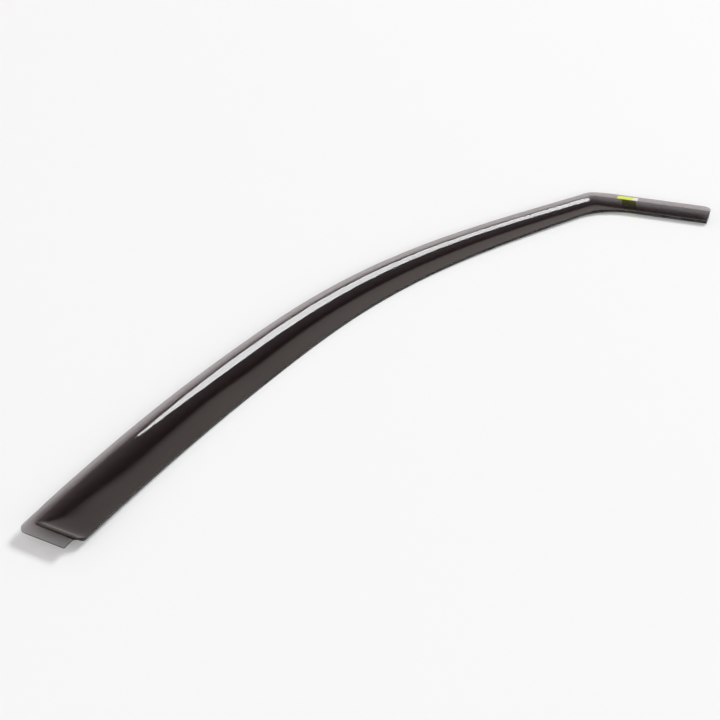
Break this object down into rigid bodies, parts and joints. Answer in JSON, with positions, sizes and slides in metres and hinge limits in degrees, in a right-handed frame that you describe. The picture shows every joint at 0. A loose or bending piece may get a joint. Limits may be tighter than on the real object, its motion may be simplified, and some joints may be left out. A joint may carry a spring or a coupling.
{
  "type": "window rain deflector",
  "caption": "Smoke-tinted acrylic rain deflector for a front side window: long bowed blade, stepped stand-off, insertion flange, tab and short turned-down leg.",
  "frame": {"origin": "centre of the bounding box in X and Y, at its bottom; the deflector lies with its hollow inner face up, as it rests on a table", "axes": "+X from the tab end to the leg end, +Y towards the side that the window frame is on, +Z out of the inner face, square to the insertion flange"},
  "size_m": [0.9788, 0.2202, 0.011],
  "materials": {
    "smoke_acrylic": "clear smoke tint, polished on both faces",
    "label_film": "printed film, satin"
  },
  "bodies": {
    "root": {"deflector": "smoke_acrylic", "flange_label": "label_film", "blade_label": "label_film"}
  },
  "joints": []
}
